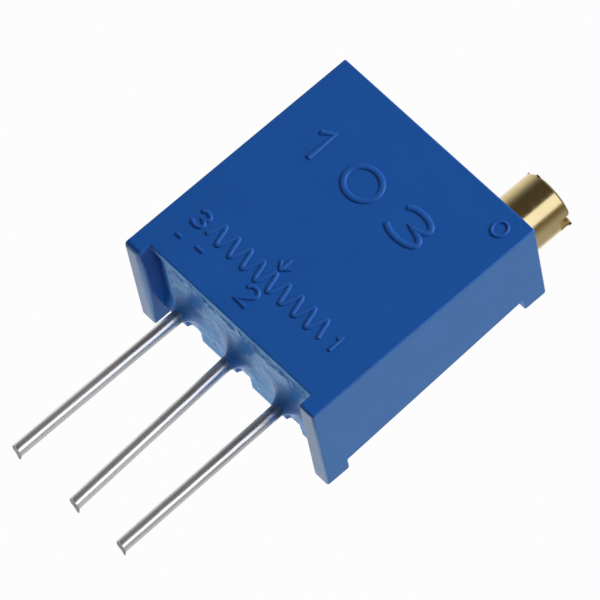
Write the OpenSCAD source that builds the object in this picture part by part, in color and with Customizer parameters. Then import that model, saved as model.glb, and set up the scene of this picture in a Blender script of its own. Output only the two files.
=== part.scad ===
// Trimmer potentiometer: a small square multi-turn cermet trimmer.
// A slotted brass worm screw turns a toothed wheel inside a moulded housing.
// The wheel carries a wiper over a ring-shaped resistive track on a ceramic
// substrate, and three round leads leave the sealed underside.
// Millimetres. X runs along the row of leads, Y from front to back, Z up.
// The origin is on the middle lead, in the plane of the feet.

/* [Housing] */
// Width of the housing along the row of leads
body_w = 9.53; // [9.5:0.01:9.6]
// Height of the housing's top above the feet
body_h = 10.04; // [10:0.01:10.1]
// Depth of the housing at its feet
foot_depth = 4.83; // [4.8:0.01:4.9]
// Depth of the housing at its upper corner pads
top_depth = 4.31; // [4.2:0.01:4.4]
// Depth of the sunk back face at its lower edge
back_low = 4.31; // [4.25:0.01:4.35]
// Depth of the sunk back face at the top
back_high = 3.59; // [3.55:0.01:3.7]
// Clearance of the front and back walls above the feet
standoff = 0.55; // [0.5:0.01:0.6]
// Width of each foot and of each corner pad
foot_w = 0.70; // [0.6:0.01:0.75]
// Height of the corner pads
pad_h = 1.0; // [0.9:0.05:1.1]
// Thickness of the front wall
front_wall = 0.72; // [0.7:0.01:0.74]
// Radius of the round-topped notches in the back wall's lower edge
notch_r = 0.42; // [0.35:0.01:0.45]
// Depth of the sloping recess beside the left foot, above the walls' lower edge
recess_d = 0.25; // [0.15:0.05:0.4]

/* [Adjusting screw] */
// Distance of the screw's axis from the right-hand side
screw_inset = 1.27; // [1.26:0.01:1.28]
// Distance of the screw's axis behind the front face
screw_back = 1.53; // [1.52:0.01:1.54]
// Radius of the slotted head
head_r = 1.10; // [1.05:0.01:1.12]
// Height of the head's end above the housing's top
head_rise = 1.65; // [1.5:0.01:1.7]
// Width of the screwdriver slot
slot_w = 0.64; // [0.5:0.02:0.7]
// Depth of the screwdriver slot
slot_d = 0.50; // [0.4:0.02:0.9]
// Angle of the slot from the X axis
slot_turn = 2.5; // [-90:0.5:90]
// Radius of the screw's neck
neck_r = 0.75; // [0.74:0.005:0.76]
// Radial running clearance of turning parts
run_fit = 0.05; // [0.04:0.01:0.06]

/* [Worm drive] */
// Number of teeth on the wheel
teeth = 30; // [30:1:30]
// Mean radius of the worm thread
worm_r = 0.60; // [0.59:0.01:0.60]
// Half of the thread's and the teeth's height
thread_half = 0.15; // [0.12:0.01:0.15]
// Radial room between thread and teeth
mesh_room = 0.12; // [0.12:0.01:0.14]
// Length of the threaded stretch
worm_len = 2.6; // [2.4:0.1:2.8]
// Height of the wheel's axis above the feet
wheel_z = 5.40; // [5.35:0.01:5.45]
// Thickness of the wheel
wheel_t = 0.90; // [0.8:0.05:0.95]
// Radius of the pivot that the wheel turns on
pivot_r = 0.80; // [0.75:0.01:0.85]

/* [Resistive element] */
// Half width of the ceramic substrate
sub_half = 3.10; // [3.05:0.01:3.1]
// Thickness of the ceramic substrate
sub_t = 0.60; // [0.55:0.01:0.6]
// Thickness of the printed films
film_t = 0.04; // [0.03:0.01:0.05]
// Inner radius of the resistive track
track_r0 = 1.90; // [1.85:0.01:1.95]
// Outer radius of the resistive track
track_r1 = 2.45; // [2.4:0.01:2.5]
// Arc of the resistive track, in degrees
track_arc = 300; // [300:1:300]

/* [Leads] */
// Spacing of the leads
pitch = 2.54; // [2.54:0.01:2.54]
// Radius of the leads
pin_r = 0.25; // [0.23:0.01:0.26]
// Reach of lead 1 below the feet
pin_len_1 = 7.13; // [6:0.01:8]
// Reach of lead 2 below the feet
pin_len_2 = 7.18; // [6:0.01:8]
// Reach of lead 3 below the feet
pin_len_3 = 7.23; // [6:0.01:8]
// Lean of the middle lead towards lead 1, in degrees
pin_lean = 2.86; // [0:0.02:4]
// Lean of lead 1 away from the middle lead, in degrees
pin_lean_1 = 1.10; // [0:0.02:2]

/* [Hidden] */
$fn = 64;
fy = -2.45;                          // front face
x_end = body_w / 2;
screw_x = x_end - screw_inset;
screw_y = fy + screw_back;
cav_y = fy + front_wall;             // inner side of the front wall
sub_y = 0.25;                        // front face of the substrate
slot_y = sub_y + sub_t + 0.02;       // inner side of the back wall
bore_r = neck_r + run_fit;
bore_z = 3.30;                       // floor of the screw's bore
tail_z = 3.40;                       // lower end of the screw
lip_z = 8.95;                        // snap lip in the screw's bore
ring_z = 9.45;                       // seal ring
wheel_x = 0;
wheel_r = screw_x - wheel_x - worm_r - mesh_room;   // mean radius of the wheel
lead = 2 * PI * wheel_r / teeth;     // advance of the thread in one turn
cav_r = wheel_r + thread_half + 0.12;
wheel_y1 = screw_y + wheel_t / 2;
pot_top = 2.10;                      // upper side of the potting
pot_z = standoff + 0.07;             // underside of the potting
recess_w = 0.72;                     // reach of the recess from the left foot
recess_y0 = -1.95;                   // front and back ends of the recess
recess_y1 = 1.50;
turn_top = 6.9;                      // lower end of the neck above the thread

// depth of the sunk back face at height z, measured from the front face
function back_at(z) = back_low + (back_high - back_low) * (z - standoff) / (body_h - standoff);

// a profile of [y, z] points, drawn out along X from x0 to x1
module along_x(points, x0, x1)
  translate([x0, fy, 0]) rotate([90, 0, 90]) linear_extrude(x1 - x0) polygon(points);

// a box from one corner to the other
module box(a, b) translate(a) cube(b - a);

// a printed film of [x, z] points on the substrate's front face
module film(points)
  translate([0, sub_y, 0]) rotate([90, 0, 0]) linear_extrude(film_t) polygon(points);

// a round bar along Y, from y0 to y1, at x and z
module bar_y(r, x, z, y0, y1)
  translate([x, y0, z]) rotate([-90, 0, 0]) cylinder(r = r, h = y1 - y0);

// a round bar along the screw's axis, from z0 to z1
module bar_z(r, z0, z1) translate([screw_x, screw_y, z0]) cylinder(r = r, h = z1 - z0);

// the profile of an end wall with its foot and its corner pads
end_profile = [[0, 0], [foot_depth, 0], [foot_depth, pad_h], [back_at(pad_h), pad_h],
               [back_at(body_h - pad_h), body_h - pad_h], [top_depth, body_h - pad_h],
               [top_depth, body_h], [0, body_h]];
wall_profile = [[0, standoff], [back_low, standoff], [back_high, body_h], [0, body_h]];

module housing() color([0.10, 0.30, 0.58]) {
  difference() {
    union() {
      along_x(wall_profile, -x_end, x_end);
      along_x(end_profile, -x_end, -x_end + foot_w);
      along_x(end_profile, x_end - foot_w, x_end);
    }
    // room for the wheel, and its way in from below
    bar_y(cav_r, wheel_x, wheel_z, cav_y, sub_y);
    box([-cav_r, cav_y, 1.5], [cav_r, sub_y, wheel_z]);
    // slot for the substrate
    box([-sub_half - 0.02, sub_y, 1.5], [sub_half + 0.02, slot_y, 9.02]);
    // potting chamber
    box([-sub_half - 0.02, cav_y, standoff - 1], [x_end - foot_w, slot_y, pot_top]);
    // bore of the screw, narrowed by the snap lip
    bar_z(bore_r, bore_z, lip_z);
    bar_z(0.60, lip_z - 0.1, lip_z + 0.3);
    bar_z(bore_r, lip_z + 0.16, body_h + 1);
    // recess beside the left foot, deepest against the foot
    translate([-x_end + foot_w, recess_y1, standoff]) rotate([90, 0, 0])
      linear_extrude(recess_y1 - recess_y0)
        polygon([[0, -0.5], [recess_w, -0.5], [recess_w, 0], [0, recess_d]]);
    // notches in the back wall behind the leads
    for (k = [-1, 0, 1])
      bar_y(notch_r, k * pitch, standoff - 0.06, slot_y - 0.2, fy + foot_depth + 1);
  }
  // pivot of the wheel
  bar_y(pivot_r, wheel_x, wheel_z, cav_y - 0.1, wheel_y1 - 0.12);
}

module adjusting_screw() color([0.80, 0.66, 0.36])
  difference() {
    union() {
      // slotted head
      bar_z(head_r, body_h + 0.04, body_h + head_rise);
      // neck, grooved for the snap lip and the seal ring
      bar_z(neck_r, ring_z + 0.17, body_h + 0.1);
      bar_z(0.48, ring_z - 0.3, ring_z + 0.3);
      bar_z(neck_r, lip_z + 0.21, ring_z - 0.17);
      bar_z(0.50, lip_z - 0.2, lip_z + 0.3);
      bar_z(neck_r, turn_top, lip_z - 0.05);
      // core and lower journal
      bar_z(0.43, tail_z, turn_top + 0.2);
      bar_z(neck_r, tail_z, wheel_z - worm_len / 2 - 0.1);
      // right-hand worm thread
      translate([screw_x, screw_y, wheel_z - worm_len / 2])
        rotate([0, 0, 180 - 360 * (worm_len / 2) / lead])
          linear_extrude(worm_len, twist = -360 * worm_len / lead,
                         slices = ceil(16 * worm_len / lead), segments = 16)
            translate([thread_half, 0]) circle(r = worm_r, $fn = 16);
    }
    // screwdriver slot
    translate([screw_x, screw_y, body_h + head_rise - slot_d]) rotate([0, 0, slot_turn])
      translate([-2, -slot_w / 2, 0]) cube([4, slot_w, 2]);
  }

module seal_ring() color([0.10, 0.10, 0.11])
  translate([screw_x, screw_y, ring_z]) rotate_extrude() translate([0.635, 0]) circle(r = 0.15);

module worm_wheel() color([0.90, 0.89, 0.84])
  difference() {
    union() {
      translate([wheel_x, wheel_y1, wheel_z]) rotate([90, 0, 0]) linear_extrude(wheel_t)
        polygon([for (i = [0 : teeth * 12 - 1]) let (a = i * 30 / teeth)
                 (wheel_r - thread_half * cos(teeth * a)) * [cos(a), sin(a)]]);
      // hub that keeps the wheel off the front wall
      bar_y(1.35, wheel_x, wheel_z, cav_y + 0.04, wheel_y1 - wheel_t / 2);
    }
    bar_y(pivot_r + run_fit, wheel_x, wheel_z, cav_y - 1, wheel_y1 + 1);
  }

// one bent contact finger: its root at height z0 and its tip at z1 above the wheel's axis
module finger(x, z0, z1) translate([x - 0.09, 0, wheel_z])
  rotate([90, 0, 90]) linear_extrude(0.18)
    polygon([[wheel_y1, z0], [wheel_y1 + 0.1, z0], [sub_y - film_t - 0.05, z1 - 0.16],
             [sub_y - film_t - 0.02, z1], [sub_y - film_t - 0.07, z1 + 0.08],
             [sub_y - film_t - 0.13, z1 - 0.08], [wheel_y1, z0 + 0.12]]);

module wiper() color([0.78, 0.70, 0.52])
  union() {
    difference() {
      bar_y(1.75, wheel_x, wheel_z, wheel_y1, wheel_y1 + 0.1);
      bar_y(0.92, wheel_x, wheel_z, wheel_y1 - 1, wheel_y1 + 1);
    }
    for (x = [-0.36, -0.12, 0.12, 0.36]) finger(x, 1.45, 2.17);
    for (x = [-0.36, 0.36]) finger(x, -1.65, -1.18);
  }

module substrate() color([0.93, 0.93, 0.90])
  box([-sub_half, sub_y, 1.0], [sub_half, sub_y + sub_t, 9.0]);

module resistive_track() color([0.12, 0.11, 0.11])
  translate([wheel_x, sub_y, wheel_z]) rotate([90, 0, 0])
    rotate([0, 0, 90 - track_arc / 2]) rotate_extrude(angle = track_arc)
      translate([track_r0, 0]) square([track_r1 - track_r0, film_t]);

module collector_track() color([0.72, 0.72, 0.70])
  union() {
    translate([wheel_x, sub_y, wheel_z]) rotate([90, 0, 0]) difference() {
      cylinder(r = 1.45, h = film_t);
      translate([0, 0, -1]) cylinder(r = 0.95, h = 2);
    }
    film([[-0.4, 1.0], [0.4, 1.0], [0.4, 2.4], [0.3, 2.5], [0.3, wheel_z - 1.2],
          [-0.3, wheel_z - 1.2], [-0.3, 2.5], [-0.4, 2.4]]);
  }

// film from the end of the resistive track to an outer lead, side 1 or -1
module end_conductor(side) {
  a = track_arc / 2;
  p0 = [track_r0 * sin(a), wheel_z + track_r0 * cos(a)];
  p1 = [track_r1 * sin(a), wheel_z + track_r1 * cos(a)];
  film([for (p = [p0, p1, [pitch + 0.4, 2.4], [pitch + 0.4, 1.0], [pitch - 0.4, 1.0],
                  [pitch - 0.4, 2.2], [0.75, 3.2]]) [side * p[0], p[1]]]);
}
module end_conductor_1() color([0.72, 0.72, 0.70]) end_conductor(1);
module end_conductor_3() color([0.72, 0.72, 0.70]) end_conductor(-1);

// the flattened upper end of a lead at x, inside the potting
module lead_tab(x) box([x - 0.18, -0.05, 0.1], [x + 0.18, 0.15, 2.0]);

// a lead at x, reaching len below the feet: a round shank with a flattened end
module lead_wire(x, len, lean) color([0.74, 0.74, 0.75]) {
  translate([x, 0, 0]) rotate([0, -lean, 0]) translate([0, 0, -len / cos(lean)])
    cylinder(r = pin_r, h = len / cos(lean) + 0.30);
  lead_tab(x);
}
module terminal_pin_1() lead_wire(pitch, pin_len_1, pin_lean_1);
module terminal_pin_2() lead_wire(0, pin_len_2, pin_lean);
module terminal_pin_3() lead_wire(-pitch, pin_len_3, 0);

// the tapered heap of solder round a lead's end, up to the film behind it
module heap(x) difference() {
  translate([x, 0.02, 1.15]) cylinder(r1 = 0.36, r2 = 0.28, h = 0.75);
  box([x - 1, sub_y - film_t, 0], [x + 1, 2, 3]);
}

// solder between a lead and the film behind it
module solder(x) color([0.66, 0.67, 0.68])
  difference() {
    heap(x);
    lead_tab(x);
  }
module solder_joint_1() solder(pitch);
module solder_joint_2() solder(0);
module solder_joint_3() solder(-pitch);

module potting() color([0.17, 0.36, 0.62])
  difference() {
    box([-sub_half - 0.02, cav_y, pot_z], [x_end - foot_w, slot_y, pot_top]);
    substrate();
    box([-pitch - 0.4, sub_y - film_t, 1.0], [-pitch + 0.4, sub_y + 0.1, 3]);
    box([-0.4, sub_y - film_t, 1.0], [0.4, sub_y + 0.1, 3]);
    box([pitch - 0.4, sub_y - film_t, 1.0], [pitch + 0.4, sub_y + 0.1, 3]);
    for (k = [-1, 0, 1]) {
      lead_tab(k * pitch);
      heap(k * pitch);
    }
  }

housing();
adjusting_screw();
seal_ring();
worm_wheel();
wiper();
substrate();
resistive_track();
collector_track();
end_conductor_1();
end_conductor_3();
terminal_pin_1();
terminal_pin_2();
terminal_pin_3();
solder_joint_1();
solder_joint_2();
solder_joint_3();
potting();
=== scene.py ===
import math
import random

import bmesh
import bpy
from mathutils import Matrix, Vector, noise


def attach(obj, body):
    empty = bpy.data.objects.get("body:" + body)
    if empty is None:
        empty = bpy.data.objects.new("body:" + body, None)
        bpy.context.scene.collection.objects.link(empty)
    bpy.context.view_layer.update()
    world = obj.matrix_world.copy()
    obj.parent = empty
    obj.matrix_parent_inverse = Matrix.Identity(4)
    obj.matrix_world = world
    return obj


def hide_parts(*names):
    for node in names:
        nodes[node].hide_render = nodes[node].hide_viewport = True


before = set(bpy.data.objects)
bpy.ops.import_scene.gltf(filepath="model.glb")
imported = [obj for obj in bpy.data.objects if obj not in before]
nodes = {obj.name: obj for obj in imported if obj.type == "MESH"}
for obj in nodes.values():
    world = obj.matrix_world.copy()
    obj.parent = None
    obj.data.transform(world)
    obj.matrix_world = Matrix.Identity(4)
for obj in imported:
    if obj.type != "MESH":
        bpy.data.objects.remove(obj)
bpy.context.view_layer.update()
scene = bpy.context.scene
scene.view_settings.view_transform = "Standard"
scene.view_settings.look = "None"
rng = random.Random(7)

# ---------------------------------------------------------------- sizes, in millimetres
X_END, X_IN = 4.765, 4.065
FRONT = -2.392            # plane of the front face; the raised marks reach -2.45
TOP, STAND, PAD = 10.04, 0.55, 1.0
FOOT_BACK, PAD_BACK = 2.38, 1.86
SCREW = (3.495, -0.92)
PITCH = 2.54
LEAN = {-1: 0.0, 0: math.radians(2.86), 1: math.radians(1.10)}


def back_y(z):
    return 1.86 - 0.72 * (z - STAND) / (TOP - STAND)


# ---------------------------------------------------------------- mesh helpers, in millimetres
def scratch(name, verts, faces):
    me = bpy.data.meshes.new(name)
    me.from_pydata([tuple(v) for v in verts], [], [tuple(f) for f in faces])
    me.update()
    ob = bpy.data.objects.new(name, me)
    scene.collection.objects.link(ob)
    tidy(ob)
    return ob


def tidy(ob, dist=1e-5):
    bm = bmesh.new()
    bm.from_mesh(ob.data)
    bmesh.ops.remove_doubles(bm, verts=bm.verts, dist=dist)
    bmesh.ops.recalc_face_normals(bm, faces=bm.faces)
    bm.to_mesh(ob.data)
    bm.free()


def bake(ob):
    dg = bpy.context.evaluated_depsgraph_get()
    dg.update()
    me = bpy.data.meshes.new_from_object(ob.evaluated_get(dg), depsgraph=dg)
    ob.modifiers.clear()
    ob.data = me
    return ob


def boolean(ob, tool, operation):
    m = ob.modifiers.new("cut", "BOOLEAN")
    m.operation, m.solver, m.object = operation, "EXACT", tool
    bake(ob)
    bpy.data.objects.remove(tool)
    return ob


def join(*obs):
    bm = bmesh.new()
    for o in obs:
        bm.from_mesh(o.data)
    bm.to_mesh(obs[0].data)
    bm.free()
    for o in obs[1:]:
        bpy.data.objects.remove(o)
    return obs[0]


def block(a, b):
    (x0, y0, z0), (x1, y1, z1) = a, b
    v = [(x, y, z) for x in (x0, x1) for y in (y0, y1) for z in (z0, z1)]
    f = [(0, 1, 3, 2), (4, 6, 7, 5), (0, 4, 5, 1), (2, 3, 7, 6), (0, 2, 6, 4), (1, 5, 7, 3)]
    return scratch("block", v, f)


def prism(loop, axis, a, b):
    """A closed loop of points in the plane across the axis, drawn out from a to b."""
    def place(p, t):
        return {"y": (p[0], t, p[1]), "z": (p[0], p[1], t), "x": (t, p[0], p[1])}[axis]
    n = len(loop)
    v = [place(p, a) for p in loop] + [place(p, b) for p in loop]
    f = [tuple(range(n)), tuple(range(2 * n - 1, n - 1, -1))]
    f += [(i, (i + 1) % n, n + (i + 1) % n, n + i) for i in range(n)]
    return scratch("prism", v, f)


def circle(cx, cy, r, n=64):
    return [(cx + r * math.cos(2 * math.pi * i / n), cy + r * math.sin(2 * math.pi * i / n)) for i in range(n)]


def lathe(profile, n=96, centre=(0.0, 0.0)):
    verts, faces, rings = [], [], []
    for r, z in profile:
        if r < 1e-6:
            verts.append((centre[0], centre[1], z))
            rings.append([len(verts) - 1] * n)
        else:
            rings.append(list(range(len(verts), len(verts) + n)))
            for i in range(n):
                a = 2 * math.pi * i / n
                verts.append((centre[0] + r * math.cos(a), centre[1] + r * math.sin(a), z))
    for a, b in zip(rings, rings[1:]):
        for i in range(n):
            j = (i + 1) % n
            f = []
            for k in (a[i], a[j], b[j], b[i]):
                if k not in f:
                    f.append(k)
            if len(f) > 2:
                faces.append(f)
    return verts, faces


def finish_piece(ob, name, material, body, replaced=(), sharp=35, weighted=False):
    ob.name = ob.data.name = name
    ob.data.transform(Matrix.Scale(0.001, 4))
    ob.data.materials.clear()
    ob.data.materials.append(material)
    for p in ob.data.polygons:
        p.use_smooth = True
        p.material_index = 0
    ob.data.set_sharp_from_angle(angle=math.radians(sharp))
    ob.data.update()
    if weighted:
        m = ob.modifiers.new("even_normals", "WEIGHTED_NORMAL")
        m.keep_sharp = True
    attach(ob, body)
    if replaced:
        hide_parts(*replaced)
    return ob


# ---------------------------------------------------------------- material helpers
def new_material(name):
    m = bpy.data.materials.new(name)
    m.use_nodes = True
    return m, m.node_tree, m.node_tree.nodes["Principled BSDF"]


def coords(nt, scale=(1, 1, 1)):
    tc = nt.nodes.new("ShaderNodeTexCoord")
    if scale == (1, 1, 1):
        return tc.outputs["Object"]
    mp = nt.nodes.new("ShaderNodeMapping")
    mp.inputs["Scale"].default_value = scale
    nt.links.new(tc.outputs["Object"], mp.inputs["Vector"])
    return mp.outputs["Vector"]


def tex_noise(nt, scale, detail=4.0, rough=0.55, stretch=(1, 1, 1), distortion=0.0):
    """Noise whose grain is about 1/scale metres."""
    n = nt.nodes.new("ShaderNodeTexNoise")
    n.inputs["Scale"].default_value = scale
    n.inputs["Detail"].default_value = detail
    n.inputs["Roughness"].default_value = rough
    n.inputs["Distortion"].default_value = distortion
    nt.links.new(coords(nt, stretch), n.inputs["Vector"])
    return n.outputs["Fac"]


def ramp(nt, fac, *stops):
    r = nt.nodes.new("ShaderNodeValToRGB")
    r.color_ramp.elements[0].position, r.color_ramp.elements[1].position = stops[0][0], stops[-1][0]
    r.color_ramp.elements[0].color, r.color_ramp.elements[1].color = rgba(stops[0][1]), rgba(stops[-1][1])
    for pos, col in stops[1:-1]:
        r.color_ramp.elements.new(pos).color = rgba(col)
    nt.links.new(fac, r.inputs["Fac"])
    return r.outputs["Color"]


def rgba(c):
    return (c, c, c, 1.0) if isinstance(c, (int, float)) else (*c, 1.0)


def map_range(nt, fac, a, b, lo=0.0, hi=1.0):
    n = nt.nodes.new("ShaderNodeMapRange")
    for k, v in (("From Min", lo), ("From Max", hi), ("To Min", a), ("To Max", b)):
        n.inputs[k].default_value = v
    nt.links.new(fac, n.inputs["Value"])
    return n.outputs["Result"]


def math_node(nt, op, a, b=None):
    n = nt.nodes.new("ShaderNodeMath")
    n.operation = op
    for i, v in enumerate((a, b)):
        if v is None:
            continue
        if isinstance(v, (int, float)):
            n.inputs[i].default_value = v
        else:
            nt.links.new(v, n.inputs[i])
    return n.outputs["Value"]


def bump(nt, height, distance, strength=1.0, after=None):
    b = nt.nodes.new("ShaderNodeBump")
    b.inputs["Strength"].default_value = strength
    b.inputs["Distance"].default_value = distance
    nt.links.new(height, b.inputs["Height"])
    if after is not None:
        nt.links.new(after, b.inputs["Normal"])
    return b.outputs["Normal"]


def blend(nt, fac, a, b):
    n = nt.nodes.new("ShaderNodeMix")
    n.data_type = "RGBA"
    nt.links.new(fac, n.inputs["Factor"])
    for socket, v in ((n.inputs[6], a), (n.inputs[7], b)):
        if isinstance(v, (int, float, tuple)):
            socket.default_value = rgba(v)
        else:
            nt.links.new(v, socket)
    return n.outputs[2]


def plastic(name, low, high, rough, grain=9000, depth=4e-6, blotch=700, rough_span=0.06):
    m, nt, s = new_material(name)
    col = ramp(nt, tex_noise(nt, blotch, 5), (0.3, low), (0.7, high))
    nt.links.new(col, s.inputs["Base Color"])
    nt.links.new(map_range(nt, tex_noise(nt, blotch * 2.3, 4), rough - rough_span, rough + rough_span, 0.3, 0.7), s.inputs["Roughness"])
    nt.links.new(bump(nt, tex_noise(nt, grain, 3), depth), s.inputs["Normal"])
    return m


def metal(name, low, high, rough, stretch=(1, 1, 1), blotch=900, grain=6000, depth=2e-6, rough_span=0.07):
    m, nt, s = new_material(name)
    s.inputs["Metallic"].default_value = 1.0
    col = ramp(nt, tex_noise(nt, blotch, 5, stretch=stretch), (0.3, low), (0.7, high))
    nt.links.new(col, s.inputs["Base Color"])
    nt.links.new(map_range(nt, tex_noise(nt, blotch * 1.7, 4, stretch=stretch), rough - rough_span, rough + rough_span, 0.3, 0.7), s.inputs["Roughness"])
    nt.links.new(bump(nt, tex_noise(nt, grain, 3, stretch=stretch), depth), s.inputs["Normal"])
    return m


# ---------------------------------------------------------------- materials
FACE = ((0.0125, 0.114, 0.462), (0.0145, 0.124, 0.490))
FLANK_SHEEN = ((0.0115, 0.160, 0.500), (0.0135, 0.172, 0.530))
WALL = ((0.018, 0.285, 0.730), (0.034, 0.355, 0.830))
SOLE_SHEEN = ((0.012, 0.150, 0.425), (0.018, 0.175, 0.480))
DEEP_SHADE = ((0.062, 0.240, 0.660), (0.080, 0.278, 0.740))
TAIL_LIGHT = ((0.007, 0.208, 0.625), (0.009, 0.224, 0.668))
RIM_HIGHLIGHT = ((0.100, 0.330, 0.720), (0.130, 0.380, 0.800))


def object_axis(nt, output, axis):
    tc = nt.nodes.new("ShaderNodeTexCoord")
    sep = nt.nodes.new("ShaderNodeSeparateXYZ")
    nt.links.new(tc.outputs[output], sep.inputs["Vector"])
    return sep.outputs[axis]


def shades(nt, fac, pair):
    return ramp(nt, fac, (0.3, pair[0]), (0.7, pair[1]))


def moulded_blue():
    """Blue moulding with painted light: its outer flanks get a lighter, greener copy of the blue (painted sheen), the
    soles a greener copy (painted sheen), the back of the feet's inner faces a lighter blue (painted light) and their
    rounded inner sole edges a light blue (painted highlight); the undersides of the walls take the resin's colour and a
    rougher smear, and the recess by the left foot gets less specular (painted shade).
    """
    m, nt, s = new_material("housing_blue")
    # painted sheen: the outer flanks get a lighter, greener copy of the blue, standing in for the light they catch at a
    # glancing angle
    flank_sheen = map_range(nt, math_node(nt, "ABSOLUTE", object_axis(nt, "Normal", "X")), 0.0, 1.0, 0.5, 0.95)
    flank_sheen = math_node(nt, "MULTIPLY", flank_sheen, map_range(nt, math_node(nt, "ABSOLUTE", object_axis(nt, "Object", "X")), 0.0, 1.0, 0.0044, 0.0046))
    down = map_range(nt, object_axis(nt, "Normal", "Z"), 1.0, 0.0, -0.98, -0.55)
    high = map_range(nt, object_axis(nt, "Object", "Z"), 0.0, 1.0, 0.0002, 0.0004)
    hollow = math_node(nt, "MULTIPLY", high, map_range(nt, object_axis(nt, "Object", "X"), 1.0, 0.0, -0.0040, -0.0034))
    under = math_node(nt, "MULTIPLY", down, map_range(nt, hollow, 1.0, 0.0))
    cloud = tex_noise(nt, 700, 5)
    # painted sheen: the downward soles of the feet get a greener copy of the blue for the glancing light they reflect;
    # the undersides of the walls take the resin's colour
    sole_sheen_wall_resin = blend(nt, high, shades(nt, tex_noise(nt, 1500, 4), SOLE_SHEEN), shades(nt, tex_noise(nt, 1500, 5), WALL))
    lean = math_node(nt, "ABSOLUTE", object_axis(nt, "Normal", "X"))
    foot = map_range(nt, math_node(nt, "ABSOLUTE", object_axis(nt, "Object", "X")), 1.0, 0.0, 0.0043, 0.0045)
    inner = math_node(nt, "MULTIPLY", map_range(nt, lean, 0.0, 1.0, 0.6, 0.98), foot)
    # painted light: the back part of each foot's inner face, where light from behind reaches in under the back wall,
    # gets a lighter blue and less specular
    tail_light = math_node(nt, "MULTIPLY", inner, map_range(nt, object_axis(nt, "Object", "Y"), 0.0, 1.0, 0.0003, 0.0016))
    # painted highlight: a light blue on the rounded inner edge of each sole, fading out towards the front
    rim = math_node(nt, "MULTIPLY", map_range(nt, lean, 0.0, 1.0, 0.10, 0.40), map_range(nt, lean, 1.0, 0.0, 0.80, 0.97))
    rim = math_node(nt, "MULTIPLY", rim, math_node(nt, "MULTIPLY", map_range(nt, high, 1.0, 0.0), map_range(nt, object_axis(nt, "Normal", "Z"), 1.0, 0.0, -0.45, -0.15)))
    rim = math_node(nt, "MULTIPLY", rim, map_range(nt, object_axis(nt, "Object", "Y"), 0.0, 1.0, -0.0022, -0.0010))
    col = blend(nt, under, blend(nt, flank_sheen, shades(nt, cloud, FACE), shades(nt, cloud, FLANK_SHEEN)), sole_sheen_wall_resin)
    col = blend(nt, tail_light, col, shades(nt, cloud, TAIL_LIGHT))
    col = blend(nt, rim, col, shades(nt, tex_noise(nt, 1500, 4), RIM_HIGHLIGHT))
    nt.links.new(col, s.inputs["Base Color"])
    smear = math_node(nt, "MULTIPLY", math_node(nt, "MULTIPLY", under, high), 0.22)
    shade = math_node(nt, "MULTIPLY", hollow, down)
    dull = math_node(nt, "MULTIPLY", shade, 0.40)
    rough = math_node(nt, "ADD", map_range(nt, tex_noise(nt, 1600, 4), 0.21, 0.29, 0.3, 0.7), math_node(nt, "MAXIMUM", smear, dull))
    nt.links.new(math_node(nt, "SUBTRACT", rough, math_node(nt, "MULTIPLY", inner, 0.15)), s.inputs["Roughness"])
    nt.links.new(map_range(nt, math_node(nt, "MAXIMUM", shade, math_node(nt, "MULTIPLY", tail_light, 0.6)), 0.50, 0.26), s.inputs["Specular IOR Level"])
    nt.links.new(bump(nt, tex_noise(nt, 9000, 3), 2.0e-6), s.inputs["Normal"])
    return m


def cured_epoxy():
    """Glossy blue resin with a cloudy skin and small pits, painted darker (painted shade) on its steep faces round the
    leads, where the leads' dark reflections fall and towards its left edge by the recess.
    """
    m, nt, s = new_material("potting_blue")
    # painted shade: the steep resin round the leads gets a darker blue
    resin_shade = map_range(nt, object_axis(nt, "Normal", "Z"), 0.0, 1.0, -0.998, -0.955)
    wrap = nt.nodes.new("ShaderNodeMath")                  # place within the 2.54 mm pitch of the leads
    wrap.operation = "WRAP"
    nt.links.new(object_axis(nt, "Object", "X"), wrap.inputs[0])
    wrap.inputs[1].default_value, wrap.inputs[2].default_value = PITCH / 2000, -PITCH / 2000
    y = object_axis(nt, "Object", "Y")
    along = math_node(nt, "SUBTRACT", math_node(nt, "MULTIPLY", wrap.outputs["Value"], 0.437), math_node(nt, "MULTIPLY", y, 0.90))
    across = math_node(nt, "ADD", math_node(nt, "MULTIPLY", wrap.outputs["Value"], 0.90), math_node(nt, "MULTIPLY", y, 0.437))
    across = math_node(nt, "ADD", math_node(nt, "ABSOLUTE", across), map_range(nt, tex_noise(nt, 1900, 3), -0.00016, 0.00016, 0.3, 0.7))
    lead_reflection = math_node(nt, "MULTIPLY", map_range(nt, along, 0.0, 1.0, -0.0003, 0.0001), map_range(nt, across, 0.9, 0.0, 0.00026, 0.00060))
    resin_shade = math_node(nt, "MAXIMUM", resin_shade, lead_reflection)          # painted shade where each lead's dark reflection falls, a streak from the lead towards the front wall
    # painted shade: the resin darkens towards its left edge beside the recess
    resin_shade = math_node(nt, "MAXIMUM", resin_shade, map_range(nt, object_axis(nt, "Object", "X"), 0.85, 0.0, -0.0032, -0.00295))
    nt.links.new(blend(nt, resin_shade, shades(nt, tex_noise(nt, 1500, 5), WALL), shades(nt, tex_noise(nt, 1500, 5), DEEP_SHADE)), s.inputs["Base Color"])
    nt.links.new(map_range(nt, tex_noise(nt, 2400, 4), 0.22, 0.36, 0.3, 0.7), s.inputs["Roughness"])
    s.inputs["Specular IOR Level"].default_value = 0.17
    pits = nt.nodes.new("ShaderNodeTexVoronoi")
    pits.inputs["Scale"].default_value = 2300
    nt.links.new(coords(nt), pits.inputs["Vector"])
    dent = map_range(nt, pits.outputs["Distance"], 0.0, 1.0, 0.04, 0.16)
    nt.links.new(bump(nt, dent, 9e-6, after=bump(nt, tex_noise(nt, 2400, 3), 6e-6)), s.inputs["Normal"])
    return m


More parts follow.
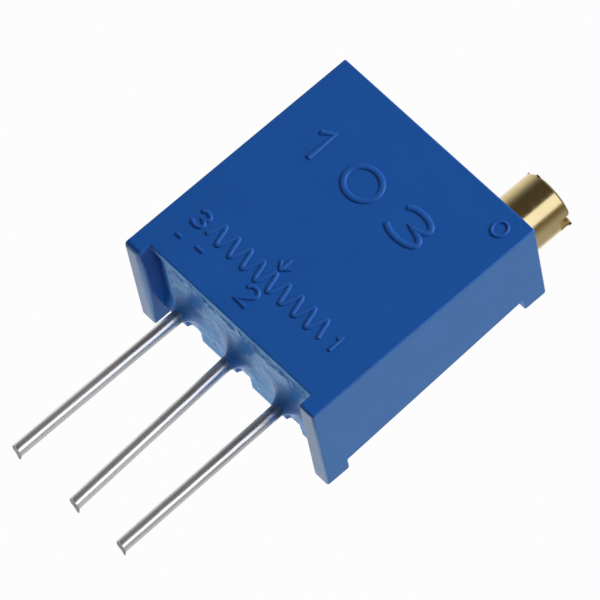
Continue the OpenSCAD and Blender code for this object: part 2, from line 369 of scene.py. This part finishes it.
def turned_brass():
    """Bright turned brass, duller where the slot was milled."""
    m, nt, s = new_material("turned_brass")
    s.inputs["Metallic"].default_value = 1.0
    lines = (0.15, 0.15, 1)
    nt.links.new(ramp(nt, tex_noise(nt, 900, 5, stretch=lines), (0.3, (0.67, 0.530, 0.258)), (0.7, (0.76, 0.615, 0.318))), s.inputs["Base Color"])
    dx = math_node(nt, "SUBTRACT", object_axis(nt, "Object", "X"), SCREW[0] / 1000)
    dy = math_node(nt, "SUBTRACT", object_axis(nt, "Object", "Y"), SCREW[1] / 1000)
    reach = math_node(nt, "SQRT", math_node(nt, "ADD", math_node(nt, "MULTIPLY", dx, dx), math_node(nt, "MULTIPLY", dy, dy)))
    milled = math_node(nt, "MULTIPLY", map_range(nt, reach, 1.0, 0.0, 0.00104, 0.00109), map_range(nt, object_axis(nt, "Object", "Z"), 0.0, 1.0, 0.01115, 0.01118))
    rough = math_node(nt, "ADD", map_range(nt, tex_noise(nt, 1600, 4, stretch=lines), 0.09, 0.19, 0.3, 0.7), math_node(nt, "MULTIPLY", milled, 0.34))
    nt.links.new(rough, s.inputs["Roughness"])
    ripple = math_node(nt, "MULTIPLY", tex_noise(nt, 2600, 3), map_range(nt, milled, 1.0, 0.15))
    nt.links.new(bump(nt, tex_noise(nt, 14000, 3, stretch=lines), 1.2e-6, after=bump(nt, ripple, 3.0e-6)), s.inputs["Normal"])
    return m


def tinned_wire():
    """Bright tinned wire, drawn lengthwise, with a dull grey core at the sheared end and a film of resin at its root."""
    m, nt, s = new_material("tinned_wire")
    s.inputs["Metallic"].default_value = 0.80
    drawn = (1, 1, 0.12)
    cut = map_range(nt, object_axis(nt, "Normal", "Z"), 1.0, 0.0, -0.85, -0.45)
    core = ramp(nt, tex_noise(nt, 7000, 4), (0.35, (0.20, 0.195, 0.19)), (0.65, (0.36, 0.355, 0.35)))
    tin = ramp(nt, tex_noise(nt, 900, 5, stretch=drawn), (0.3, (0.84, 0.845, 0.84)), (0.7, (0.92, 0.922, 0.915)))
    edge = map_range(nt, tex_noise(nt, 2600, 3), -0.00010, 0.00010, 0.3, 0.7)
    film = map_range(nt, math_node(nt, "ADD", object_axis(nt, "Object", "Z"), edge), 0.0, 0.75, -0.00028, -0.00006)
    nt.links.new(blend(nt, film, blend(nt, cut, tin, core), (0.075, 0.115, 0.165)), s.inputs["Base Color"])
    rough = map_range(nt, tex_noise(nt, 1530, 4, stretch=drawn), 0.18, 0.32, 0.3, 0.7)
    nt.links.new(math_node(nt, "ADD", rough, math_node(nt, "MULTIPLY", math_node(nt, "MAXIMUM", cut, film), 0.25)), s.inputs["Roughness"])
    nt.links.new(bump(nt, tex_noise(nt, 5000, 3, stretch=drawn), 2e-6), s.inputs["Normal"])
    return m


BLUE = moulded_blue()
MARK = plastic("mark_blue", *FACE, 0.50)
MARK.node_tree.nodes["Principled BSDF"].inputs["Specular IOR Level"].default_value = 0.30
EPOXY = cured_epoxy()
TIN = tinned_wire()
BRASS = turned_brass()
RUBBER = plastic("seal_black", (0.010, 0.010, 0.011), (0.024, 0.024, 0.026), 0.62)
NYLON = plastic("wheel_nylon", (0.70, 0.66, 0.55), (0.80, 0.77, 0.68), 0.42)
ALLOY = metal("spring_alloy", (0.52, 0.43, 0.25), (0.68, 0.58, 0.37), 0.24)
CERAMIC = plastic("alumina", (0.74, 0.74, 0.71), (0.85, 0.85, 0.82), 0.55, grain=14000)
CERMET = plastic("cermet_film", (0.012, 0.012, 0.012), (0.035, 0.033, 0.031), 0.48)
SILVER = metal("silver_film", (0.48, 0.48, 0.46), (0.62, 0.62, 0.60), 0.36)
SOLDER = metal("solder", (0.42, 0.42, 0.43), (0.60, 0.60, 0.61), 0.30)


# ---------------------------------------------------------------- housing
def housing_solid():
    xa, xb, yf = X_END, X_IN, FRONT
    y1, y9, yt = back_y(PAD), back_y(TOP - PAD), back_y(TOP)
    z9 = TOP - PAD
    faces = []
    faces.append([(-xa, yf, 0), (-xb, yf, 0), (-xb, yf, STAND), (xb, yf, STAND), (xb, yf, 0), (xa, yf, 0), (xa, yf, TOP), (-xa, yf, TOP)])
    faces.append([(-xb, yf, STAND), (xb, yf, STAND), (xb, PAD_BACK, STAND), (-xb, PAD_BACK, STAND)])
    faces.append([(-xb, PAD_BACK, STAND), (xb, PAD_BACK, STAND), (xb, y1, PAD), (xa, y1, PAD), (xa, y9, z9), (xb, y9, z9),
                  (xb, yt, TOP), (-xb, yt, TOP), (-xb, y9, z9), (-xa, y9, z9), (-xa, y1, PAD), (-xb, y1, PAD)])
    faces.append([(-xa, yf, TOP), (xa, yf, TOP), (xa, PAD_BACK, TOP), (xb, PAD_BACK, TOP), (xb, yt, TOP), (-xb, yt, TOP),
                  (-xb, PAD_BACK, TOP), (-xa, PAD_BACK, TOP)])
    for s in (-1, 1):
        a, b = s * xa, s * xb
        faces.append([(a, yf, 0), (a, FOOT_BACK, 0), (a, FOOT_BACK, PAD), (a, y1, PAD), (a, y9, z9), (a, PAD_BACK, z9), (a, PAD_BACK, TOP), (a, yf, TOP)])
        faces.append([(a, yf, 0), (b, yf, 0), (b, FOOT_BACK, 0), (a, FOOT_BACK, 0)])
        faces.append([(b, yf, 0), (b, FOOT_BACK, 0), (b, FOOT_BACK, PAD), (b, y1, PAD), (b, PAD_BACK, STAND), (b, yf, STAND)])
        faces.append([(a, FOOT_BACK, 0), (b, FOOT_BACK, 0), (b, FOOT_BACK, PAD), (a, FOOT_BACK, PAD)])
        faces.append([(a, y1, PAD), (b, y1, PAD), (b, FOOT_BACK, PAD), (a, FOOT_BACK, PAD)])
        faces.append([(a, y9, z9), (b, y9, z9), (b, PAD_BACK, z9), (a, PAD_BACK, z9)])
        faces.append([(a, PAD_BACK, z9), (b, PAD_BACK, z9), (b, PAD_BACK, TOP), (a, PAD_BACK, TOP)])
        faces.append([(b, y9, z9), (b, PAD_BACK, z9), (b, PAD_BACK, TOP), (b, yt, TOP)])
    index, verts, loops = {}, [], []
    for f in faces:
        loop = []
        for p in f:
            k = tuple(round(c, 4) for c in p)
            if k not in index:
                index[k] = len(verts)
                verts.append(p)
            loop.append(index[k])
        loops.append(loop)
    ob = scratch("housing_body", verts, loops)
    wide = 0.24
    bm = bmesh.new()
    bm.from_mesh(ob.data)
    for e in list(bm.edges):                 # the left foot's inner edge gets sharper towards the back
        p, q = e.verts
        if max(p.co.z, q.co.z) < 0.01 and max(abs(v.co.x + X_IN) for v in e.verts) < 0.01:
            if p.co.y > q.co.y:
                p, q = q, p
            for y in (0.9, 1.3, 1.7, 2.05):
                e, p = bmesh.utils.edge_split(e, p, (y - p.co.y) / (q.co.y - p.co.y))[0:2]
                e = next(k for k in p.link_edges if q in k.verts)
    weight = bm.edges.layers.float.new("bevel_weight_edge")
    for e in bm.edges:
        if e.calc_face_angle(0.0) < math.radians(8):
            continue
        p, q = (v.co for v in e.verts)
        front = abs(p.y - FRONT) < 0.01 and abs(q.y - FRONT) < 0.01
        low = max(p.z, q.z) < 0.01
        inner = abs(abs(p.x) - X_IN) < 0.01 and abs(abs(q.x) - X_IN) < 0.01
        across = abs(p.y - q.y) < 0.01 and abs(p.z - q.z) < 0.01 and max(abs(p.x), abs(q.x)) > X_IN + 0.01
        width = 0.065
        if front and low:
            width = wide if p.x < 0 else 0.11
        elif low and inner:
            mid = (p.y + q.y) / 2
            width = 0.08 if p.x > 0 else 0.20 if mid < 0.9 else 0.17 if mid < 1.3 else 0.13 if mid < 1.7 else 0.09 if mid < 2.05 else 0.065
        elif across and (abs(p.y - FOOT_BACK) < 0.01 or abs(p.y - PAD_BACK) < 0.01):
            width = 0.07 if low else 0.20
        elif low and abs(p.x - q.x) < 0.01:
            width = 0.09
        e[weight] = width / wide
    bm.to_mesh(ob.data)
    bm.free()
    m = ob.modifiers.new("edges", "BEVEL")
    m.limit_method, m.width, m.segments = "WEIGHT", wide, 4
    m.use_clamp_overlap = False
    bake(ob)
    return ob


def recess_tool():
    """Shallow hollow beside the left foot, deepest against the foot and running out softly."""
    xa, xb, ya, yb, nx, ny = -4.064, -3.20, -2.10, 1.70, 26, 76
    top, low = [], []
    for j in range(ny + 1):
        y = ya + (yb - ya) * j / ny
        e = min(1.0, (y - ya) / 0.45)
        e = math.sqrt(max(0.0, 1 - (1 - e) ** 2))
        t = min(1.0, (yb - y) / 0.95)
        e *= t * t * (3 - 2 * t)
        for i in range(nx + 1):
            x = xa + (xb - xa) * i / nx
            u = 1 - i / nx
            slope = 1.25 * (u - 0.20) if u > 0.40 else 1.25 * u * u / 0.80
            top.append((x, y, 0.542 + 0.258 * e * (slope - 0.10 * math.exp(-(1 - u) / 0.07))))
            low.append((x, y, 0.30))
    n, row = len(top), nx + 1
    faces = []
    for j in range(ny):
        for i in range(nx):
            a = j * row + i
            faces.append((a, a + 1, a + row + 1, a + row))
            faces.append((n + a, n + a + row, n + a + row + 1, n + a + 1))
    rim = [i for i in range(nx + 1)] + [j * row + nx for j in range(1, ny + 1)]
    rim += [ny * row + i for i in range(nx - 1, -1, -1)] + [j * row for j in range(ny - 1, 0, -1)]
    m = len(rim)
    faces += [(rim[i], n + rim[i], n + rim[(i + 1) % m], rim[(i + 1) % m]) for i in range(m)]
    return scratch("recess", top + low, faces)


housing = housing_solid()
cuts = [
    recess_tool(),
    block((-3.12, -1.73, -0.45), (4.05, 0.87, 2.10)),                      # potting chamber
    block((-3.12, 0.25, 1.5), (3.12, 0.87, 9.02)),                         # slot of the substrate
    prism(circle(0, 5.40, 3.045, 96), "y", -1.73, 0.25),                   # room of the wheel
    block((-3.045, -1.73, 1.5), (3.045, 0.25, 5.40)),
    prism(circle(*SCREW, 0.80), "z", 3.30, 8.95),                          # bore of the screw
    prism(circle(*SCREW, 0.60), "z", 8.85, 9.25),
    prism(circle(*SCREW, 0.80), "z", 9.11, 11.0),
] + [prism(circle(k * PITCH, 0.49, 0.42, 48), "y", 0.67, 3.4) for k in (-1, 0, 1)]
for c in cuts:
    boolean(housing, c, "DIFFERENCE")
housing = join(housing, prism(circle(0, 5.40, 0.80, 64), "y", -1.83, -0.59))
finish_piece(housing, "housing_body", BLUE, "base", ["housing"], sharp=40, weighted=True)


# ---------------------------------------------------------------- raised marks on the front face
def arc(cx, cz, rx, rz, a0, a1, n=14):
    return [(cx + rx * math.cos(math.radians(a0 + (a1 - a0) * k / n)), cz + rz * math.sin(math.radians(a0 + (a1 - a0) * k / n))) for k in range(n + 1)]


DIGITS = {
    "0": [(arc(0.5, 0.5, 0.5, 0.5, 90, 450, 30)[:-1], True)],
    "1": [([(0.22, 0.78), (0.52, 1.0), (0.52, 0.0)], False)],
    "2": [(arc(0.5, 0.72, 0.46, 0.28, 165, -38) + [(0.02, 0.0), (1.0, 0.0)], False)],
    "3": [(arc(0.47, 0.75, 0.45, 0.25, 155, -90, 12) + arc(0.47, 0.25, 0.50, 0.25, 90, -155, 14)[1:], False)],
}


def stroke(points, closed, width, rise):
    """A rounded bead along points (x, z) on the front face, rise above it."""
    cu = bpy.data.curves.new("stroke", "CURVE")
    cu.dimensions = "3D"
    cu.bevel_depth, cu.bevel_resolution, cu.use_fill_caps = width / 2, 3, True
    sp = cu.splines.new("POLY")
    sp.points.add(len(points) - 1)
    for p, (x, z) in zip(sp.points, points):
        p.co = (x, 0.0, z, 1.0)
    sp.use_cyclic_u = closed
    ob = bpy.data.objects.new("stroke", cu)
    scene.collection.objects.link(ob)
    dg = bpy.context.evaluated_depsgraph_get()
    me = bpy.data.meshes.new_from_object(ob.evaluated_get(dg), depsgraph=dg)
    bpy.data.objects.remove(ob)
    squeeze = rise / (width / 2)
    for v in me.vertices:
        v.co.y = FRONT + v.co.y * squeeze
    out = bpy.data.objects.new("stroke", me)
    scene.collection.objects.link(out)
    tidy(out)
    return out


def digit(d, x, z, w, h, width, rise):
    return [stroke([(x + p[0] * w, z + p[1] * h) for p in pts], closed, width, rise) for pts, closed in DIGITS[d]]


RISE = 0.056
marks = []
for d, x, z, w, h in (("3", 0.98, 2.14, 0.50, 0.62), ("1", 7.84, 2.10, 0.36, 0.64), ("2", 4.26, 1.22, 0.56, 0.74)):
    marks += digit(d, x - X_END, z, w, h, 0.17, RISE)
for d, x in (("1", 1.25), ("0", 3.35), ("3", 5.75)):
    marks += digit(d, x - X_END, 6.55, 1.45, 1.25, 0.25, RISE)
wave = [(1.74, 2.20)]
for k in range(181):                        # resistor sign, a row of nine arches
    x = 1.80 + 5.64 * k / 180
    wave.append((x, 2.48 + 0.35 * math.cos(2 * math.pi * (x - 2.02) / 0.64)))
marks.append(stroke([(x - X_END, z) for x, z in wave], False, 0.18, RISE))
marks.append(stroke([(4.58 - X_END, 3.54), (4.58 - X_END, 2.98)], False, 0.17, RISE))
marks.append(stroke([(4.34 - X_END, 3.26), (4.58 - X_END, 2.98), (4.82 - X_END, 3.26)], False, 0.15, RISE))
marks.append(stroke([(x - X_END, z) for x, z in arc(8.67, 9.22, 0.27, 0.30, 0, 360, 24)[:-1]], True, 0.13, RISE))
marks.append(stroke([(1.00 - X_END, 1.50), (1.28 - X_END, 1.50)], False, 0.16, RISE))
marks.append(stroke([(1.86 - X_END, 1.62), (2.22 - X_END, 1.62)], False, 0.16, RISE))
marks = join(*marks)
finish_piece(marks, "terminal_marks", MARK, "base", sharp=60)


# ---------------------------------------------------------------- potting, a skin of epoxy with menisci on the leads
def pin_x(k, z):
    return k * PITCH - z * math.tan(LEAN[k])


# drops of resin along the front wall
LUMPS = [(-2.9 + 6.7 * (i + 0.8 * rng.random()) / 26, -1.98 + 0.24 * rng.random(), 0.05 + 0.13 * rng.random(), 0.012 + 0.034 * rng.random()) for i in range(26)]


def potting_z(x, y):
    inside = min(x + 3.12, 4.05 - x, y + 1.73, 0.87 - y)
    n1 = noise.noise(Vector((x * 0.9, y * 0.9, 3.1)))
    n2 = noise.noise(Vector((x * 3.1, y * 3.1, 7.7)))
    n3 = noise.noise(Vector((x * 9.0, y * 9.0, 1.3)))
    z = 0.580 + 0.026 * n1 + 0.014 * n2 + 0.004 * n3
    rise = min(inside, (0.87 - y) / 2.8)
    if rise < 0.35:                         # the edge creeps a little over the walls
        t = min(1.0, (0.35 - rise) / 0.35)
        z -= 0.055 * t * t * (3 - 2 * t)
    if inside < 0.02:
        over = 0.02 - inside
        z += 0.07 * over + 0.032 * n2 * min(1.0, over * 6) + 0.010 * n3 * min(1.0, over * 8)
        reach = 0.06
        if y < -1.7:
            reach = 0.36 + 0.16 * noise.noise(Vector((x * 1.9, y * 1.9, 12.5)))
        elif y > 0.8 and x > -3.1:
            reach = 0.78 + 0.12 * noise.noise(Vector((x * 1.9, y * 1.9, 12.5)))
        z += 0.4 * max(0.0, over - reach)
    seam = -1.80 + 0.10 * noise.noise(Vector((x * 1.7, 4.4, 0.0)))
    broken = max(0.0, noise.noise(Vector((x * 4.2, 9.1, 2.0))) + 0.10)
    z += 0.08 * broken * math.exp(-((y - seam) / 0.06) ** 2)
    for bx, by, br, bh in LUMPS:
        q = ((x - bx) ** 2 + (y - by) ** 2) / (br * br)
        if q < 6:
            z -= bh * math.exp(-q * q / 2)
    for k in (-1, 0, 1):
        d = math.hypot(x - pin_x(k, 0.4), y) - 0.25
        if d < 1.2:
            swell = 1.0 + 0.35 * noise.noise(Vector((x * 2.0, y * 2.0, k * 5.0)))
            z -= 0.56 * swell * math.exp(-max(d, 0.0) / 0.20)
    return max(z, 0.015)


def potting_skin():
    x0, x1, y0, y1, step = -3.28, 4.05, -2.32, 1.80, 0.036
    nx, ny = int((x1 - x0) / step), int((y1 - y0) / step)
    verts, faces = [], []
    for j in range(ny + 1):
        for i in range(nx + 1):
            x, y = x0 + (x1 - x0) * i / nx, y0 + (y1 - y0) * j / ny
            verts.append((x, y, min(potting_z(x, y), 0.68)))
    row = nx + 1
    for j in range(ny):
        for i in range(nx):
            a = j * row + i
            faces += [(a, a + row, a + row + 1), (a, a + row + 1, a + 1)]
    rim = [i for i in range(nx + 1)] + [j * row + nx for j in range(1, ny + 1)]
    rim += [ny * row + i for i in range(nx - 1, -1, -1)] + [j * row for j in range(ny - 1, 0, -1)]
    base = len(verts)
    for k in rim:
        verts.append((verts[k][0], verts[k][1], 0.72))
    n = len(rim)
    faces += [(rim[i], rim[(i + 1) % n], base + (i + 1) % n, base + i) for i in range(n)]
    faces.append(tuple(range(base, base + n)))
    return scratch("potting_skin", verts, faces)


skin = potting_skin()
for k in (-1, 0, 1):                        # the notches in the back wall stay open
    boolean(skin, prism(circle(k * PITCH, 0.49, 0.415, 48), "y", 1.12, 3.4), "DIFFERENCE")
plug = block((-3.12, -1.73, 0.70), (4.05, 0.25, 2.10))
potting = join(skin, plug)
finish_piece(potting, "potting_skin", EPOXY, "base", ["potting"], sharp=70)


# ---------------------------------------------------------------- leads
def lead_mesh(k, length, seed, burr):
    tilt = LEAN[k]
    full = length / math.cos(tilt)
    n, profile = 40, []
    zs = [-full + h for h in (0.0, 0.02, 0.05)] + [-full + 0.14 + (full + 0.86) * i / 70 for i in range(71)]
    verts, faces = [], []
    for q, z in enumerate(zs):
        for i in range(n):
            a = 2 * math.pi * i / n
            wave = 0.004 * noise.noise(Vector((z * 0.8, seed, 0.5))) + 0.0035 * noise.noise(Vector((math.cos(a) * 1.5, math.sin(a) * 1.5 + seed, z * 2.2)))
            r = 0.247 + wave
            x, y, zz = r * math.cos(a), r * math.sin(a), z
            if q < 3:                        # sheared end: a little spread, with a pointed lip at one side
                lip = max(0.0, math.cos(a - burr)) ** 3.5
                roll = max(0.0, -math.cos(a - burr)) ** 2
                zz += 0.07 * (1 - lip) + 0.035 * roll
                out = 1 + ((0.075 + 0.015 * math.sin(seed)) * lip - 0.020 * roll) * (1.0, 0.75, 0.30)[q] / r
                x, y = x * out, y * out
            verts.append((x, y, zz))
    for q in range(len(zs) - 1):
        for i in range(n):
            j = (i + 1) % n
            faces.append((q * n + i, q * n + j, (q + 1) * n + j, (q + 1) * n + i))
    c = len(verts)
    verts.append((0, 0, sum(verts[i][2] for i in range(n)) / n + 0.012))
    faces += [(c, (i + 1) % n, i) for i in range(n)]
    last = (len(zs) - 1) * n
    faces.append(tuple(last + i for i in range(n)))
    rot = Matrix.Rotation(-tilt, 4, "Y")
    verts = [rot @ Vector(v) + Vector((k * PITCH, 0, 0)) for v in verts]
    ob = scratch("lead", verts, faces)
    x = k * PITCH
    return join(ob, block((x - 0.18, -0.05, 0.5), (x + 0.18, 0.15, 2.0)))


for number, k, length, burr in ((1, 1, 7.13, 0.62), (2, 0, 7.18, 0.70), (3, -1, 7.23, 0.85)):
    ob = lead_mesh(k, length, 3.7 * number, burr)
    finish_piece(ob, f"lead_{number}", TIN, "base", [f"terminal_pin_{number}"], sharp=50)


# ---------------------------------------------------------------- adjusting screw
def screw_mesh():
    c = SCREW
    profile = [(0, 3.40), (0.70, 3.40), (0.75, 3.45), (0.75, 4.00), (0.43, 4.00), (0.43, 6.90), (0.75, 6.90), (0.75, 8.90),
               (0.50, 8.90), (0.50, 9.16), (0.75, 9.16), (0.75, 9.28), (0.48, 9.28), (0.48, 9.62), (0.75, 9.62), (0.75, 10.08),
               (1.06, 10.08), (1.10, 10.12)]
    profile += [(1.10 - 0.004 * (k % 2), 10.12 + 1.46 * k / 12) for k in range(1, 13)]
    profile += [(1.10, 11.60), (1.01, 11.69), (0.75, 11.682), (0.70, 11.684), (0.4, 11.678), (0, 11.68)]
    v, f = lathe(profile, 128, c)
    ob = scratch("screw", v, f)
    turn = math.radians(2.5)
    slot = block((-2, -0.32, 11.19), (2, 0.32, 13.0))
    slot.data.transform(Matrix.Translation((c[0], c[1], 0)) @ Matrix.Rotation(turn, 4, "Z"))
    boolean(ob, slot, "DIFFERENCE")
    burrs = []
    for x, y, z, dx, dy, dz in ((1.02, 0.36, 11.62, 0.085, 0.05, 0.060), (0.86, 0.33, 11.66, 0.11, 0.10, 0.028), (0.70, 0.33, 11.665, 0.07, 0.06, 0.022),
                                (-0.42, -0.98, 11.66, 0.10, 0.03, 0.025), (-0.98, -0.42, 11.665, 0.04, 0.10, 0.022)):
        v = [(x + dx * math.cos(t) * (1 - 0.25 * math.sin(3 * t)), y + dy * math.sin(t), z + dz * u) for u in (-1, 1) for t in (0.3, 1.2, 2.4, 3.3, 4.3, 5.4)]
        v += [(x, y, z - 1.05 * dz), (x, y, z + dz)]
        f = [(i, (i + 1) % 6, 6 + (i + 1) % 6, 6 + i) for i in range(6)] + [(12, (i + 1) % 6, i) for i in range(6)] + [(13, 6 + i, 6 + (i + 1) % 6) for i in range(6)]
        b = scratch("burr", v, f)
        b.data.transform(Matrix.Translation((c[0], c[1], 0)) @ Matrix.Rotation(turn, 4, "Z"))
        burrs.append(b)
    ob = join(ob, *burrs)
    lead = 2 * math.pi * (c[0] - 0.60 - 0.12) / 30
    n_up, n_round = 96, 24
    verts, faces = [], []
    for i in range(n_up + 1):
        z = 2.6 * i / n_up
        a = math.pi + 2 * math.pi * (z - 1.3) / lead
        for j in range(n_round):
            b = 2 * math.pi * j / n_round
            px, py = 0.15 + 0.60 * math.cos(b), 0.60 * math.sin(b)
            verts.append((c[0] + px * math.cos(a) - py * math.sin(a), c[1] + px * math.sin(a) + py * math.cos(a), 4.10 + z))
    for i in range(n_up):
        for j in range(n_round):
            k = (j + 1) % n_round
            faces.append((i * n_round + j, i * n_round + k, (i + 1) * n_round + k, (i + 1) * n_round + j))
    faces.append(tuple(range(n_round)))
    faces.append(tuple(n_up * n_round + j for j in range(n_round)))
    return join(ob, scratch("thread", verts, faces))


finish_piece(screw_mesh(), "screw_turned", BRASS, "screw", ["adjusting_screw"], sharp=32, weighted=True)


# ---------------------------------------------------------------- pieces that keep their CAD shape
for name, mat in (("seal_ring", RUBBER), ("worm_wheel", NYLON), ("wiper", ALLOY), ("substrate", CERAMIC), ("resistive_track", CERMET),
                  ("collector_track", SILVER), ("end_conductor_1", SILVER), ("end_conductor_3", SILVER),
                  ("solder_joint_1", SOLDER), ("solder_joint_2", SOLDER), ("solder_joint_3", SOLDER)):
    ob = nodes[name]
    ob.data.materials.clear()
    ob.data.materials.append(mat)


# ---------------------------------------------------------------- floor and studio light
floor_me = bpy.data.meshes.new("floor")
floor_me.from_pydata([(x, y, -0.085) for x, y in ((-2, -2), (2, -2), (2, 2), (-2, 2))], [], [(0, 1, 2, 3)])
floor = bpy.data.objects.new("floor", floor_me)
scene.collection.objects.link(floor)
PALE, nt, s = new_material("pale_floor")
nt.links.new(ramp(nt, tex_noise(nt, 6, 3), (0.3, 0.90), (0.7, 0.92)), s.inputs["Base Color"])
s.inputs["Roughness"].default_value = 0.9
s.inputs["Emission Color"].default_value = (1.0, 1.0, 1.0, 1.0)
s.inputs["Emission Strength"].default_value = 0.28
floor_me.materials.append(PALE)
floor.visible_diffuse = floor.visible_glossy = floor.visible_shadow = False    # the light below the object comes from the studio alone

world = bpy.data.worlds.new("studio")
scene.world = world
world.use_nodes = True
nt = world.node_tree
nt.nodes.clear()
w_out = nt.nodes.new("ShaderNodeOutputWorld")
w_bg = nt.nodes.new("ShaderNodeBackground")
tc = nt.nodes.new("ShaderNodeTexCoord")
sep = nt.nodes.new("ShaderNodeSeparateXYZ")
nt.links.new(tc.outputs["Generated"], sep.inputs["Vector"])
turn = math_node(nt, "ARCTAN2", sep.outputs["X"], math_node(nt, "MULTIPLY", sep.outputs["Y"], -1.0))
turn = map_range(nt, turn, 0.0, 1.0, -math.pi, math.pi)
# brightness round the horizon, by degrees from the front towards the screw's side
WARM = (0.080, 0.064, 0.050)
STRIP = (1.34, 1.39, 1.60)
BAND = [(-180, 0.94), (-165, 0.98), (-118, 0.98), (-98, 0.86), (-80, 0.62), (-62, 0.26), (-48, 0.11), (-38, WARM), (10, WARM), (21, 0.10),
        (25, STRIP), (63, STRIP), (69, 0.40), (76, (0.19, 0.15, 0.07)), (84, (0.19, 0.16, 0.09)), (95, 0.28), (106, 0.41), (118, 0.47), (158, 0.48), (180, 0.94)]
LOW = [(-180, 0.98), (-105, 0.98), (-85, 0.80), (-65, 0.28), (-45, 0.10), (-25, 0.06), (60, 0.05), (85, 0.09), (105, 0.24), (140, 0.80), (180, 0.98)]
band = ramp(nt, turn, *[((a + 180) / 360, v) for a, v in BAND])
low = ramp(nt, turn, *[((a + 180) / 360, v) for a, v in LOW])
up = map_range(nt, sep.outputs["Z"], 0.0, 1.0, 0.42, 0.66)
down = map_range(nt, sep.outputs["Z"], 1.0, 0.0, -0.12, 0.02)
sky = blend(nt, down, blend(nt, up, band, 0.20), low)
nt.links.new(sky, w_bg.inputs["Color"])
nt.links.new(w_bg.outputs["Background"], w_out.inputs["Surface"])

key_data = bpy.data.lights.new("key", "AREA")
key_data.shape, key_data.size, key_data.size_y, key_data.energy = "RECTANGLE", 0.16, 0.10, 0.95
key = bpy.data.objects.new("key", key_data)
scene.collection.objects.link(key)
key.location = (0.135, -0.18, 0.28)
key.rotation_mode = "QUATERNION"
key.rotation_quaternion = (Vector((0, 0, 0.005)) - key.location).to_track_quat("-Z", "Y")
key.visible_camera = False

# ---------------------------------------------------------------- camera, at the photograph's viewpoint
right = Vector((0.6624664, 0.11263456, 0.74057527))
downward = Vector((0.61156418, 0.48958873, -0.62152404))
forward = Vector((-0.43258239, 0.8646481, 0.25545282))
cam_data = bpy.data.cameras.new("camera")
cam_data.sensor_fit, cam_data.sensor_width, cam_data.lens = "HORIZONTAL", 36.0, 485.14
cam_data.clip_start, cam_data.clip_end = 0.01, 20.0
camera = bpy.data.objects.new("camera", cam_data)
scene.collection.objects.link(camera)
m = Matrix((right, -downward, -forward)).transposed().to_4x4()
m.translation = Vector((0.117516, -0.235011, -0.066026))
camera.matrix_world = m
scene.camera = camera
